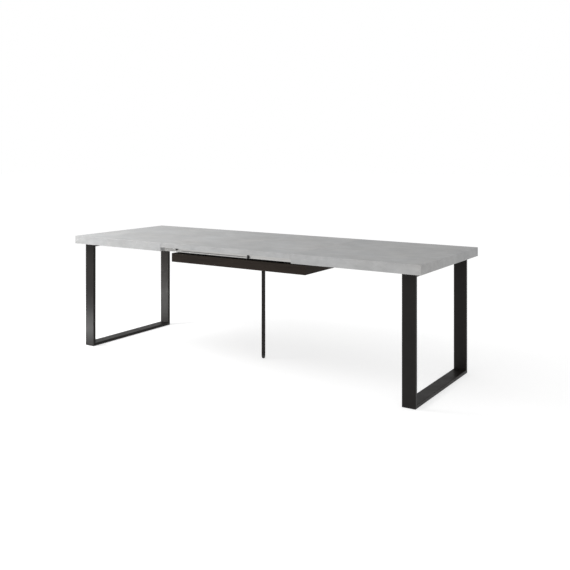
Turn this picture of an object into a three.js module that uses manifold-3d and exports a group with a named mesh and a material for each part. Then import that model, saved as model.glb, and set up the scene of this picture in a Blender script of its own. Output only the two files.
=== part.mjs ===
// Extendable dining table, shown extended. Millimetres, +Z up, origin on the floor under the table's middle.
// +X runs along the table to the right and -Y is the front. The rear slide is the front slide turned by half
// a turn about the vertical, so the two halves of the table are alike.
import * as THREE from "three";
import { mergeVertices } from "three/addons/utils/BufferGeometryUtils.js";
import Module from "manifold-3d";

// Driving dimensions
const tableLength = 2600; // extended
const tableWidth = 900;
const tableHeight = 775;
const leafLength = 500; // each of the two leaves, along X
const boardThickness = 28; // boards and leaves
const edgeThickness = 54; // board and edge strip together
const edgeStripWidth = 40;
const boardChamfer = 0.8;
const seam = 0.6; // between neighbouring boards
const gap = 0.3; // between touching pieces

const frameInset = 50; // leg frame to the end and to the sides of the table
const tubeWidth = 80; // leg frame's tube, along X
const tubeDepth = 20;
const tubeWall = 2;
const tubeCornerRadius = 2.5;
const glideHeight = 2;
const glideLength = 60;
const glideWidth = 30;

const boltRadius = 4;
const boltHeadRadius = 7.5; // over the corners
const boltHeadHeight = 5.5;
const boltGrip = 15; // length in the batten
const boltY = 250;

const slideHeight = 35;
const memberDepth = 12; // member of a half, along Y
const centreMemberDepth = 15; // without its tongues
const centreMemberDrop = 1; // how far it hangs below the members of the halves
const tongueDepth = 5;
const tongueHeight = 12;
const runningGap = 0.5; // between sliding faces
const slideOuterY = 360; // a slide's outer face
const slideStart = 1150; // outboard end of a half's member
const slideReach = 125; // how far it reaches past the table's middle
const grooveDepth = 1.8;
const grooveHeight = 3.2;
const grooveDrop = 9.3; // groove below the middle of the slide
const capLength = 8;

const knobRadius = 7.5;
const knobHeight = 9;
const knobShankRadius = 3;
const knobX = -437;

const boxLength = 1036;
const boxWidth = 640;
const boxTop = 694;
const boxBottom = 637;
const boxWall = 16;
const boxFloor = 6;
const hangerWidth = 40;
const hangerThickness = 2.5;
const hangerX = 300;
const hangerFoot = 655; // lower end of a hanger

const legWidth = 21; // centre leg, along X
const legDepth = 16;
const legWall = 1.5;
const footTaper = 22;
const footShank = 20;
const hingeDrop = 20; // hinge axis below the box
const hingePinRadius = 4;
const hingeEarThickness = 3;
const hingeEarRadius = 12;
const hingePlate = [70, 50, 3];
const magnetX = 430;
const magnetLength = 34;
const magnetWidth = 18;
const magnetClearance = 0.8; // above the folded leg

const leafPinRadius = 3.5;
const leafPinLength = 10;
const leafPinX = 250;
const holePlay = 0.35; // added to the radius of a hole

// Worked out from them
const halfLength = tableLength / 2;
const halfWidth = tableWidth / 2;
const boardLength = halfLength - leafLength - seam / 2;
const boardMiddleX = halfLength - boardLength / 2;
const boardBottom = tableHeight - boardThickness;
const edgeBottom = tableHeight - edgeThickness;
const stripHeight = edgeThickness - boardThickness - gap;
const stripMiddleZ = edgeBottom + stripHeight / 2;

const frameX = halfLength - frameInset - tubeWidth / 2;
const frameSpan = tableWidth - 2 * frameInset; // along Y, over the posts
const frameBottom = glideHeight + gap;
const frameTop = edgeBottom - gap;
const frameHeight = frameTop - frameBottom;

const slideMiddleZ = boardBottom - gap - slideHeight / 2;
const memberLength = slideStart + slideReach;
const centreMemberY = slideOuterY - memberDepth - runningGap - centreMemberDepth / 2;
const innerMemberY = centreMemberY - centreMemberDepth / 2 - runningGap;
const mouthDepth = tongueDepth; // the tongue starts a running gap away from the mouth
const centreMemberBottom = slideMiddleZ - slideHeight / 2 - centreMemberDrop;
const hingeZ = boxBottom - hingeDrop;

const finishes = {
  concreteLaminate: { color: 0xc9c8c5, roughness: 0.55, metalness: 0 },
  coatedSteel: { color: 0x2f2b29, roughness: 0.5, metalness: 0.2 },
  blackLaminate: { color: 0x3a332f, roughness: 0.55, metalness: 0 },
  aluminium: { color: 0xc8c6c1, roughness: 0.4, metalness: 0.9 },
  zincSteel: { color: 0xa9aaab, roughness: 0.35, metalness: 1 },
  blackPlastic: { color: 0x161616, roughness: 0.5, metalness: 0 },
  felt: { color: 0x3b3b3b, roughness: 0.95, metalness: 0 },
};

const table = new THREE.Group();

// Adds a named piece with a material of its own to a group.
function addPiece(group, name, geometry, finish, x = 0, y = 0, z = 0) {
  const mesh = new THREE.Mesh(geometry, new THREE.MeshStandardMaterial(finishes[finish]));
  mesh.name = name;
  mesh.position.set(x, y, z);
  group.add(mesh);
}

// Cutting and joining

const wasm = await Module();
wasm.setup();

// A closed geometry as a solid.
function toSolid(geometry) {
  const bare = geometry.clone();
  bare.deleteAttribute("normal");
  bare.deleteAttribute("uv");
  const merged = mergeVertices(bare, 1e-3);
  return new wasm.Manifold(
    new wasm.Mesh({
      numProp: 3,
      vertProperties: merged.attributes.position.array,
      triVerts: new Uint32Array(merged.index.array),
    }),
  );
}

// A solid as a geometry with flat faces.
function toGeometry(solid) {
  const { vertProperties, triVerts } = solid.getMesh();
  const geometry = new THREE.BufferGeometry();
  geometry.setAttribute("position", new THREE.BufferAttribute(vertProperties, 3));
  geometry.setIndex(new THREE.BufferAttribute(triVerts, 1));
  const flat = geometry.toNonIndexed();
  flat.computeVertexNormals();
  return flat;
}

function join(...geometries) {
  return toGeometry(geometries.map(toSolid).reduce((whole, piece) => whole.add(piece)));
}

function cut(geometry, ...cutters) {
  return toGeometry(cutters.map(toSolid).reduce((rest, cutter) => rest.subtract(cutter), toSolid(geometry)));
}

// Shapes

// A solid of revolution about Z from [radius, z] points that start and end on the axis.
function turned(points, segments = 24) {
  const profile = points.map(([radius, z]) => new THREE.Vector2(radius, z));
  return new THREE.LatheGeometry(profile, segments).rotateX(Math.PI / 2);
}

// A round rod about Z, from z = 0 up to its length.
function rod(radius, length, segments = 24) {
  return turned([[0, 0], [radius, 0], [radius, length], [0, length]], segments);
}

function rectangle(width, height) {
  const [x, y] = [width / 2, height / 2];
  return new THREE.Shape([[-x, -y], [x, -y], [x, y], [-x, y]].map((point) => new THREE.Vector2(...point)));
}

// A rectangle with round corners: Outline is THREE.Shape, or THREE.Path for a hole.
function roundedRectangle(Outline, width, height, radius) {
  const outline = new Outline();
  const corners = [[1, 1], [-1, 1], [-1, -1], [1, -1]];
  corners.forEach(([right, up], quarter) => {
    const start = (quarter * Math.PI) / 2;
    const x = right * (width / 2 - radius);
    const y = up * (height / 2 - radius);
    outline.absarc(x, y, radius, start, start + Math.PI / 2);
  });
  outline.closePath();
  return outline;
}

function extruded(outline, depth, steps = 1) {
  return new THREE.ExtrudeGeometry(outline, { depth, steps, bevelEnabled: false, curveSegments: 4 });
}

// A rectangular board centred on the origin, with small chamfers around its upper and lower faces.
function board(length, width, thickness, chamfer = boardChamfer) {
  const outline = rectangle(length - 2 * chamfer, width - 2 * chamfer);
  const bevel = { bevelEnabled: true, bevelThickness: chamfer, bevelSize: chamfer, bevelSegments: 1 };
  const solid = new THREE.ExtrudeGeometry(outline, { depth: thickness - 2 * chamfer, ...bevel });
  return solid.translate(0, 0, chamfer - thickness / 2);
}

// A rectangular tube along +Z from z = 0, open at both ends.
function rectangularTube(width, depth, wall, radius, length) {
  const outline = roundedRectangle(THREE.Shape, width, depth, radius);
  outline.holes.push(roundedRectangle(THREE.Path, width - 2 * wall, depth - 2 * wall, radius / 2));
  return extruded(outline, length);
}

// A tube of the leg frame along +Z with both ends mitred at 45 degrees. Its long face, the outer one, is at +Y
// and spans z = 0 to the given length.
function mitredTube(length) {
  const tube = rectangularTube(tubeWidth, tubeDepth, tubeWall, tubeCornerRadius, length);
  const position = tube.attributes.position;
  for (let i = 0; i < position.count; i++) {
    const setback = tubeDepth / 2 - position.getY(i) + gap / 2;
    position.setZ(i, position.getZ(i) > length / 2 ? length - setback : setback);
  }
  return tube;
}

// A straight bar along +X from x = 0, with the given section of [y, z] points.
function barAlongX(section, length) {
  const outline = new THREE.Shape(section.map(([y, z]) => new THREE.Vector2(y, z)));
  const alongX = new THREE.Matrix4().makeBasis(
    new THREE.Vector3(0, 1, 0),
    new THREE.Vector3(0, 0, 1),
    new THREE.Vector3(1, 0, 0),
  );
  return extruded(outline, length).applyMatrix4(alongX);
}

// Top halves: side is -1 for the left half and +1 for the right half.

function addTopHalf(name, side) {
  const boardX = side * boardMiddleX;
  const top = board(boardLength, tableWidth, boardThickness);
  addPiece(table, name + "_board", top, "concreteLaminate", boardX, 0, tableHeight - boardThickness / 2);

  const stripY = halfWidth - edgeStripWidth / 2;
  for (const [place, y] of [["front", -stripY], ["rear", stripY]]) {
    const strip = board(boardLength, edgeStripWidth, stripHeight);
    addPiece(table, name + "_" + place + "_edge_strip", strip, "concreteLaminate", boardX, y, stripMiddleZ);
  }
  const innerWidth = tableWidth - 2 * edgeStripWidth - 2 * gap;
  const endStrip = board(edgeStripWidth, innerWidth, stripHeight);
  const endX = side * (halfLength - edgeStripWidth / 2);
  addPiece(table, name + "_end_edge_strip", endStrip, "concreteLaminate", endX, 0, stripMiddleZ);

  const boltHoles = [-boltY, boltY].map((y) =>
    rod(boltRadius + holePlay, boltGrip + 1).translate(0, y, -stripHeight / 2 - 1),
  );
  const batten = cut(board(tubeWidth, innerWidth, stripHeight), ...boltHoles);
  addPiece(table, name + "_leg_batten", batten, "blackLaminate", side * frameX, 0, stripMiddleZ);
}

// Leg frames: two posts, a foot rail and a top rail of one tube, mitred and welded.

function hexBolt() {
  const shankLength = gap + tubeDepth + gap + boltGrip - 1;
  const head = turned([[0, -boltHeadHeight], [boltHeadRadius, -boltHeadHeight], [boltHeadRadius, 0], [0, 0]], 6);
  return join(head, rod(boltRadius, shankLength + 1).translate(0, 0, -1));
}

function addLegFrame(name, side) {
  const x = side * frameX;
  const postY = frameSpan / 2 - tubeDepth / 2;
  addPiece(table, name + "_rear_post", mitredTube(frameHeight), "coatedSteel", x, postY, frameBottom);
  const frontPost = mitredTube(frameHeight).rotateZ(Math.PI);
  addPiece(table, name + "_front_post", frontPost, "coatedSteel", x, -postY, frameBottom);

  // Turned about X, a tube runs towards -Y with its long face up. Half a turn about Y faces it down.
  const footRail = mitredTube(frameSpan).rotateX(Math.PI / 2).rotateY(Math.PI);
  const footRailZ = frameBottom + tubeDepth / 2;
  addPiece(table, name + "_foot_rail", footRail, "coatedSteel", x, frameSpan / 2, footRailZ);

  const boltHoles = [-boltY, boltY].map((y) =>
    rod(boltRadius + holePlay, tubeDepth + 2).translate(0, y - frameSpan / 2, -tubeDepth / 2 - 1),
  );
  const topRail = cut(mitredTube(frameSpan).rotateX(Math.PI / 2), ...boltHoles);
  addPiece(table, name + "_top_rail", topRail, "coatedSteel", x, frameSpan / 2, frameTop - tubeDepth / 2);

  for (const [place, end] of [["front", -1], ["rear", 1]]) {
    const glide = board(glideWidth, glideLength, glideHeight, 0.4);
    const glideY = end * (frameSpan / 2 - glideLength);
    addPiece(table, name + "_" + place + "_glide", glide, "felt", x, glideY, glideHeight / 2);
    const boltZ = frameTop - tubeDepth - gap;
    addPiece(table, name + "_" + place + "_bolt", hexBolt(), "zincSteel", x, end * boltY, boltZ);
  }
}

// Telescopic slides: a member on each half runs on the tongues of a centre member that carries the box.

// A channel whose outer face is at y = 0 with a shallow groove, and whose mouth opens towards +Y.
function halfMemberSection() {
  const top = slideHeight / 2;
  const mouth = tongueHeight / 2 + runningGap;
  const floor = memberDepth - mouthDepth;
  const grooveTop = grooveHeight / 2 - grooveDrop;
  const grooveBottom = -grooveHeight / 2 - grooveDrop;
  return [
    [0, -top],
    [memberDepth, -top],
    [memberDepth, -mouth],
    [floor, -mouth],
    [floor, mouth],
    [memberDepth, mouth],
    [memberDepth, top],
    [0, top],
    [0, grooveTop],
    [grooveDepth, grooveTop],
    [grooveDepth, grooveBottom],
    [0, grooveBottom],
  ];
}

// A bar with a tongue down the middle of both faces, centred on y = 0.
function centreMemberSection() {
  const side = centreMemberDepth / 2;
  const tongue = tongueHeight / 2;
  const top = slideHeight / 2;
  const rightHalf = [
    [side, -top - centreMemberDrop],
    [side, -tongue],
    [side + tongueDepth, -tongue],
    [side + tongueDepth, tongue],
    [side, tongue],
    [side, top],
  ];
  const leftHalf = rightHalf.map(([y, z]) => [-y, z]).reverse();
  return [...rightHalf, ...leftHalf];
}

// A knob about Z whose grip is below z = 0 and whose shank goes up through the web of a member.
function lockKnob() {
  const web = memberDepth - mouthDepth;
  const grip = turned([
    [0, -knobHeight],
    [knobRadius - 1.5, -knobHeight],
    [knobRadius, -knobHeight + 1.5],
    [knobRadius, -3],
    [knobRadius - 2, -gap],
    [0, -gap],
  ]);
  return join(grip, rod(knobShankRadius, web + 1 - gap).translate(0, 0, -1));
}

// The slide is drawn as the front one, with its outer member on the left half.
function addSlide(place, angle) {
  const slide = new THREE.Group();
  slide.rotation.z = angle;
  table.add(slide);

  const knobHole = rod(knobShankRadius + holePlay, memberDepth).rotateX(-Math.PI / 2);
  const outerBar = barAlongX(halfMemberSection(), memberLength);
  const outer = cut(outerBar, knobHole.translate(slideStart + knobX, -1, 0));
  addPiece(slide, place + "_slide_outer", outer, "aluminium", -slideStart, -slideOuterY, slideMiddleZ);

  // The inner member is the outer one turned by half a turn about the vertical, without the knob's hole.
  const inner = barAlongX(halfMemberSection(), memberLength).rotateZ(Math.PI);
  const innerFaceY = memberDepth - innerMemberY;
  addPiece(slide, place + "_slide_inner", inner, "aluminium", slideStart, innerFaceY, slideMiddleZ);

  const capSection = halfMemberSection();
  const outerCap = barAlongX(capSection, capLength);
  const outerCapX = slideReach + gap;
  addPiece(slide, place + "_slide_outer_cap", outerCap, "blackPlastic", outerCapX, -slideOuterY, slideMiddleZ);
  const innerCap = barAlongX(capSection, capLength).rotateZ(Math.PI);
  addPiece(slide, place + "_slide_inner_cap", innerCap, "blackPlastic", -outerCapX, innerFaceY, slideMiddleZ);

  const pinHoles = [-leafPinX, leafPinX].map((x) =>
    rod(leafPinRadius + holePlay, leafPinLength + 2).translate(
      boxLength / 2 + x,
      0,
      slideHeight / 2 - leafPinLength - 1,
    ),
  );
  const centre = cut(barAlongX(centreMemberSection(), boxLength), ...pinHoles);
  addPiece(slide, place + "_slide_centre", centre, "aluminium", -boxLength / 2, -centreMemberY, slideMiddleZ);

  const knob = lockKnob().rotateX(-Math.PI / 2);
  addPiece(slide, place + "_lock_knob", knob, "blackPlastic", knobX, -slideOuterY, slideMiddleZ);
}

// Extension leaves, each on two pins that stand in the centre members

function addLeaf(name, side) {
  const leaf = board(leafLength - seam / 2, tableWidth, boardThickness);
  const leafX = side * (leafLength / 2);
  addPiece(table, name + "_leaf", leaf, "concreteLaminate", leafX, 0, tableHeight - boardThickness / 2);
  for (const [place, y] of [["front", -centreMemberY], ["rear", centreMemberY]]) {
    const tip = leafPinRadius - 1;
    const pin = turned([
      [0, -leafPinLength],
      [tip, -leafPinLength],
      [leafPinRadius, 1 - leafPinLength],
      [leafPinRadius, 0],
      [0, 0],
    ]);
    addPiece(table, name + "_leaf_" + place + "_pin", pin, "zincSteel", side * leafPinX, y, boardBottom - gap);
  }
}

// Storage box for the leaves, open at the top

function addStorageBox() {
  const wallHeight = boxTop - boxBottom;
  const wallZ = boxBottom + wallHeight / 2;
  const sideY = boxWidth / 2 - boxWall / 2;
  for (const [place, y] of [["front", -sideY], ["rear", sideY]]) {
    const wall = board(boxLength, boxWall, wallHeight);
    addPiece(table, "box_" + place, wall, "blackLaminate", 0, y, wallZ);
  }
  const innerWidth = boxWidth - 2 * boxWall - 2 * gap;
  const endX = boxLength / 2 - boxWall / 2;
  for (const [place, x] of [["left", -endX], ["right", endX]]) {
    const wall = board(boxWall, innerWidth, wallHeight);
    addPiece(table, "box_" + place + "_end", wall, "blackLaminate", x, 0, wallZ);
  }
  const floorLength = boxLength - 2 * boxWall - 2 * gap;
  const floor = board(floorLength, innerWidth, boxFloor);
  addPiece(table, "box_bottom", floor, "blackLaminate", 0, 0, boxBottom + boxFloor / 2);
}

// A bent strip from under the centre member, over the box's wall and down its inner face.
function addHangers() {
  const outerY = centreMemberY + centreMemberDepth / 2;
  const innerY = boxWidth / 2 - boxWall - gap;
  const top = centreMemberBottom - gap;
  const section = [
    [-outerY, top - hangerThickness],
    [-innerY, top - hangerThickness],
    [-innerY, hangerFoot],
    [hangerThickness - innerY, hangerFoot],
    [hangerThickness - innerY, top],
    [-outerY, top],
  ];
  const frontStrip = barAlongX(section, hangerWidth).translate(-hangerWidth / 2, 0, 0);
  const rearStrip = frontStrip.clone().rotateZ(Math.PI);
  for (const [hand, x] of [["left", -hangerX], ["right", hangerX]]) {
    addPiece(table, "box_hanger_front_" + hand, frontStrip, "coatedSteel", x);
    addPiece(table, "box_hanger_rear_" + hand, rearStrip, "coatedSteel", x);
  }
}

// Centre leg, which folds up under the box towards +X

// An ear of the hinge bracket in X and Z about the pin: a straight top and a round lower end.
function hingeEar() {
  const top = hingeDrop - gap - 1; // inside the plate
  const outline = new THREE.Shape();
  outline.moveTo(hingeEarRadius, top);
  outline.lineTo(-hingeEarRadius, top);
  outline.absarc(0, 0, hingeEarRadius, Math.PI, 2 * Math.PI);
  outline.closePath();
  const pinHole = new THREE.Path();
  pinHole.absarc(0, 0, hingePinRadius + holePlay, 0, 2 * Math.PI);
  outline.holes.push(pinHole);
  const ear = new THREE.ExtrudeGeometry(outline, {
    depth: hingeEarThickness,
    bevelEnabled: false,
    curveSegments: 12,
  });
  return ear.rotateX(Math.PI / 2).translate(0, hingeEarThickness / 2, 0);
}

function addCentreLeg() {
  const earY = legDepth / 2 + runningGap + hingeEarThickness / 2;
  const plate = board(...hingePlate, 0.4).translate(0, 0, hingeDrop - gap - hingePlate[2] / 2);
  const bracket = join(plate, hingeEar().translate(0, -earY, 0), hingeEar().translate(0, earY, 0));
  addPiece(table, "leg_hinge_bracket", bracket, "coatedSteel", 0, 0, hingeZ);

  const pinHalf = earY + hingeEarThickness / 2 + 1;
  const headHeight = 2.5;
  const pin = turned([
    [0, -pinHalf - headHeight],
    [hingePinRadius + 2, -pinHalf - headHeight],
    [hingePinRadius + 2, -pinHalf],
    [hingePinRadius, -pinHalf],
    [hingePinRadius, pinHalf],
    [0, pinHalf],
  ]);
  addPiece(table, "leg_hinge_pin", pin.rotateX(-Math.PI / 2), "zincSteel", 0, 0, hingeZ);

  const tubeTop = hingeZ + legWidth / 2;
  const tubeLength = tubeTop - footTaper - gap;
  const tube = rectangularTube(legWidth, legDepth, legWall, 2, tubeLength);
  const crossHole = rod(hingePinRadius + holePlay, legDepth + 2).rotateX(-Math.PI / 2);
  crossHole.translate(0, -legDepth / 2 - 1, tubeLength - legWidth / 2);
  addPiece(table, "centre_leg", cut(tube, crossHole), "coatedSteel", 0, 0, footTaper + gap);

  addPiece(table, "centre_leg_foot", taperedFoot(), "blackPlastic");

  const magnetHeight = hingeDrop - legWidth / 2 - gap - magnetClearance;
  const magnet = board(magnetLength, magnetWidth, magnetHeight);
  addPiece(table, "leg_magnet", magnet, "blackPlastic", magnetX, 0, boxBottom - gap - magnetHeight / 2);
}

// A plastic foot as wide as the leg that narrows to the floor in a round curve, with a shank in the tube.
function taperedFoot() {
  const foot = extruded(roundedRectangle(THREE.Shape, legWidth, legDepth, 2), footTaper, 8);
  const position = foot.attributes.position;
  const tipScale = 0.5;
  for (let i = 0; i < position.count; i++) {
    const fromTop = 1 - position.getZ(i) / footTaper;
    const scale = tipScale + (1 - tipScale) * Math.sqrt(1 - fromTop * fromTop);
    position.setX(i, position.getX(i) * scale);
    position.setY(i, position.getY(i) * scale);
  }
  const [width, depth] = [legWidth, legDepth].map((size) => size - 2 * legWall - 2 * gap);
  const shank = extruded(roundedRectangle(THREE.Shape, width, depth, 1), footShank + 1);
  return join(foot, shank.translate(0, 0, footTaper - 1));
}

for (const [hand, side] of [["left", -1], ["right", 1]]) {
  addTopHalf(hand, side);
  addLegFrame(hand + "_leg", side);
  addLeaf(hand, side);
}
addSlide("front", 0);
addSlide("rear", Math.PI);
addStorageBox();
addHangers();
addCentreLeg();

export default table;
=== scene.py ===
# %% [markdown]
# # An extendable dining table
# Two top halves with a concrete-look laminate stand on closed frames of flat steel tube. They slide apart
# on telescopic rails, and two loose leaves fill the middle. Below the leaves hang a black box that stores
# them and a slim support leg.
#
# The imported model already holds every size. This script reads it as a fixed frame, builds the visible
# surfaces around it, gives each piece its finish, and lights the table as a furniture catalogue does.

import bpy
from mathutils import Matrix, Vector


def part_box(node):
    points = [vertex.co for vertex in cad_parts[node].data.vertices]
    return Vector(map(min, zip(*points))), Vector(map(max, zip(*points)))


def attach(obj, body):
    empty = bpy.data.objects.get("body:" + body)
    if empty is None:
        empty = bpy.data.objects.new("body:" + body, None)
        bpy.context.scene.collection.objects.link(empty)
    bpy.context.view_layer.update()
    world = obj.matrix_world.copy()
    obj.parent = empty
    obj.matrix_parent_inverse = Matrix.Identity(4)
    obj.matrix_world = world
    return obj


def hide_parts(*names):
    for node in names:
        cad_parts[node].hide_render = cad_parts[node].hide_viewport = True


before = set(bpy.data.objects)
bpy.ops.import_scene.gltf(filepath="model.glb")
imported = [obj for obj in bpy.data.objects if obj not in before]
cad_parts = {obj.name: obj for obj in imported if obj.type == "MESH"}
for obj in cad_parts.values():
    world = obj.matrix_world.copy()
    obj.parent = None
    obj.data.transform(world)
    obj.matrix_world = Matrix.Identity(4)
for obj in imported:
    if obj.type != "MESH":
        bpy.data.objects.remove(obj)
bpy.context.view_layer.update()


# %% [markdown]
# ## Surfaces as grids of points
# Most parts of furniture are one outline carried along a line: a tube, a rail, a turned knob. On a
# computer that is a grid of points, with one row for each place along the line and one column for each
# point of the outline. A modeller could draw it with Extrude and Spin. Working the grid out as arrays
# keeps every size exact.

# %% A grid of points becomes a closed skin
import numpy as np

MILLIMETRE = 0.001


def grid_faces(rows, columns, ring):
    """Four-sided faces of a grid whose rows are closed outlines.

    The corners of a face are a point, the next point of its row, that one's neighbour in the next row, and
    the first one's neighbour in the next row. In a ring the last row also joins the first one."""
    number = np.arange(rows * columns).reshape(rows, columns)
    here = number if ring else number[:-1]
    there = np.roll(number, -1, axis=0) if ring else number[1:]
    corners = [here, np.roll(here, -1, axis=1), np.roll(there, -1, axis=1), there]
    return np.stack(corners, axis=-1).reshape(-1, 4)


def skin(grid, ring=False):
    """Points and faces of a grid of shape (rows, columns, 3), with flat lids unless it is a ring."""
    rows, columns = grid.shape[:2]
    faces = grid_faces(rows, columns, ring).tolist()
    if not ring:
        last_row = (rows - 1) * columns
        faces.append(list(range(columns))[::-1])
        faces.append(list(range(last_row, last_row + columns)))
    return grid.reshape(-1, 3), faces


def together(skins):
    """Several skins as one: each skin's numbers move up past the points of the ones before."""
    points, faces, used = [], [], 0
    for skin_points, skin_faces in skins:
        points.append(skin_points)
        faces += [[used + corner for corner in face] for face in skin_faces]
        used += len(skin_points)
    return np.concatenate(points), faces


print("a ring of 4 rows and 24 columns has", len(grid_faces(4, 24, True)), "faces")

# %% [markdown]
# ## From a skin to a piece of the table
# No real edge is perfectly sharp: a small round catches the light, and it is what makes an edge look
# made. The Bevel modifier cuts these rounds, and the Weighted Normal modifier keeps the large faces flat
# in shading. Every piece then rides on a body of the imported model, so that it moves when the table is
# opened.

# %% Make a piece that rides on a body
import bmesh
import bpy

MERGE_DISTANCE = 0.001 * MILLIMETRE
SHARP_ANGLE = np.radians(40)
FLAT_ANGLE = np.radians(0.5)
ROUND_SEGMENTS = 3


def make_piece(name, surface, body, stands_for=(), edge_round=0.0, join_flat=False):
    """A named object from points and faces: doubles merged, faces pointing out, sharp edges rounded."""
    points, faces = surface
    mesh = bpy.data.meshes.new(name)
    mesh.from_pydata(points.tolist(), [], faces)
    shell = bmesh.new()
    shell.from_mesh(mesh)
    bmesh.ops.remove_doubles(shell, verts=shell.verts, dist=MERGE_DISTANCE)
    if join_flat:
        bmesh.ops.dissolve_limit(shell, angle_limit=FLAT_ANGLE, verts=shell.verts, edges=shell.edges)
    bmesh.ops.recalc_face_normals(shell, faces=shell.faces)
    shell.to_mesh(mesh)
    shell.free()
    mesh.polygons.foreach_set("use_smooth", np.ones(len(mesh.polygons), bool))
    piece = bpy.data.objects.new(name, mesh)
    bpy.context.scene.collection.objects.link(piece)
    if edge_round:
        rounding = piece.modifiers.new("round the edges", "BEVEL")
        rounding.width = edge_round
        rounding.segments = ROUND_SEGMENTS
        rounding.limit_method = "ANGLE"
        rounding.angle_limit = SHARP_ANGLE
    piece.modifiers.new("keep flat faces flat", "WEIGHTED_NORMAL").keep_sharp = True
    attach(piece, body)
    if stands_for:
        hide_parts(*stands_for)
    return piece


def corners_of(*names):
    """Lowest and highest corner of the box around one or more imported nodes, in metres."""
    boxes = np.array([[list(corner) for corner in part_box(name)] for name in names])
    return boxes[:, 0].min(axis=0), boxes[:, 1].max(axis=0)


def node_skin(name):
    """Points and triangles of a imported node, to be rounded in a copy."""
    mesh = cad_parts[name].data
    points = np.empty(3 * len(mesh.vertices))
    mesh.vertices.foreach_get("co", points)
    triangles = np.empty(3 * len(mesh.loop_triangles), int)
    mesh.loop_triangles.foreach_get("vertices", triangles)
    return points.reshape(-1, 3), triangles.reshape(-1, 3).tolist()


print("edges sharper than", round(np.degrees(SHARP_ANGLE)), "degrees get a round")

# %% [markdown]
# ## Rounded blocks
# A board with soft edges is the space that a small ball sweeps inside a box. A cube with a Bevel would
# do. Here the ball's latitude gives the row and its longitude the column, and each quarter of the ball
# moves out to its own corner of the box, so the round is the same on every edge and corner.

# %% A block with round edges
BALL_STEPS = 4


def block(low, high, radius):
    """A box swept by a ball: point = nearest corner of the inner box + radius * direction on the ball."""
    low, high = np.asarray(low, float), np.asarray(high, float)
    middle, inner = (low + high) / 2, (high - low) / 2 - radius
    quarter = np.linspace(0, np.pi / 2, BALL_STEPS + 1)
    latitude = np.concatenate([quarter - np.pi / 2, quarter])[:, None]
    longitude = (quarter + np.pi / 2 * np.arange(4)[:, None]).ravel()
    side_x = np.repeat([1, -1, -1, 1], BALL_STEPS + 1)
    side_y = np.repeat([1, 1, -1, -1], BALL_STEPS + 1)
    side_z = np.repeat([-1, 1], BALL_STEPS + 1)[:, None]
    x = middle[0] + side_x * inner[0] + radius * np.cos(latitude) * np.cos(longitude)
    y = middle[1] + side_y * inner[1] + radius * np.cos(latitude) * np.sin(longitude)
    z = middle[2] + side_z * inner[2] + radius * np.sin(latitude)
    return skin(np.stack([x, y, np.broadcast_to(z, x.shape)], axis=-1))


print("a block has", len(block([0, 0, 0], [1, 1, 1], 0.1)[1]), "faces")

# %% [markdown]
# ## The top halves
# A top that looks 54 mm thick is a 28 mm board with strips glued under its three outer edges, wrapped so
# that no joint shows. Underneath it stays open, which leaves room for the rails. Think of it as a stack
# of cells: a face lies wherever a filled cell meets an empty one. A Boolean could cut the hollow too, but
# cells give clean faces that take an even round.

# %% The skin of a stack of cells
def cell_skin(lines, filled):
    """Walls between filled and empty cells. lines holds the grid's planes along X, Y and Z. A wall lies
    where filled changes from one cell to the next along an axis, and its corners are the four points
    around it."""
    points = np.stack(np.meshgrid(*lines, indexing="ij"), axis=-1).reshape(-1, 3)
    number = np.arange(len(points)).reshape([len(planes) for planes in lines])
    walls = []
    for axis in range(3):
        margin = [(int(axis == other), int(axis == other)) for other in range(3)]
        cells = np.moveaxis(np.pad(filled, margin), axis, 0)
        wall = cells[1:] != cells[:-1]
        at = np.moveaxis(number, axis, 0)
        around = [at[:, :-1, :-1], at[:, 1:, :-1], at[:, 1:, 1:], at[:, :-1, 1:]]
        walls.append(np.stack([corner[wall] for corner in around], axis=-1))
    walls = np.concatenate(walls)
    used, renumbered = np.unique(walls, return_inverse=True)
    return points[used], renumbered.reshape(walls.shape).tolist()


# %% Both top halves
BOARD_ROUND = 0.9 * MILLIMETRE
SIDE_OF = {"left": -1, "right": 1}
OUTWARD = {"front": -1, "rear": 1}


def top_half(hand):
    """The board and its edge strips as one wrapped slab that is open underneath and towards the
    leaves."""
    strips = [f"{hand}_{place}_edge_strip" for place in ("front", "rear", "end")]
    low, high = corners_of(f"{hand}_board", *strips)
    board_low, _ = corners_of(f"{hand}_board")
    strip_low, strip_high = corners_of(f"{hand}_front_edge_strip")
    strip_width = strip_high[1] - strip_low[1]
    inside_end = high[0] - strip_width if SIDE_OF[hand] > 0 else low[0] + strip_width
    planes_x = np.sort([low[0], inside_end, high[0]])
    planes_y = np.array([low[1], low[1] + strip_width, high[1] - strip_width, high[1]])
    planes_z = np.array([low[2], board_low[2], high[2]])
    filled = np.ones((2, 3, 2), bool)
    filled[0 if SIDE_OF[hand] > 0 else 1, 1, 0] = False
    surface = cell_skin([planes_x, planes_y, planes_z], filled)
    nodes = [f"{hand}_board", *strips]
    body = f"{hand}_half"
    return make_piece(f"{hand}_top", surface, body, nodes, BOARD_ROUND, True)


tops = {hand: top_half(hand) for hand in SIDE_OF}
print("top halves:", [piece.name for piece in tops.values()])

# %% Both leaves
def leaf_board(hand):
    """A loose leaf: one plain board with the same laminate on all its faces."""
    surface = block(*corners_of(f"{hand}_leaf"), BOARD_ROUND)
    node = f"{hand}_leaf"
    return make_piece(f"{hand}_leaf_board", surface, node, [node])


leaves = {hand: leaf_board(hand) for hand in SIDE_OF}
print("leaves:", [piece.name for piece in leaves.values()])

# %% [markdown]
# ## The leg frames
# Each frame is one flat tube, cut at 45 degrees, welded into a closed rectangle and ground flush before
# it is powder coated. So it is one outline, a rectangle with round corners, carried round four stations.
# At a corner the outline stretches along the diagonal, as a mitre does, so that the tube keeps its
# thickness.

# %% A rectangle with round corners
CORNER_STEPS = 5


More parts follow.
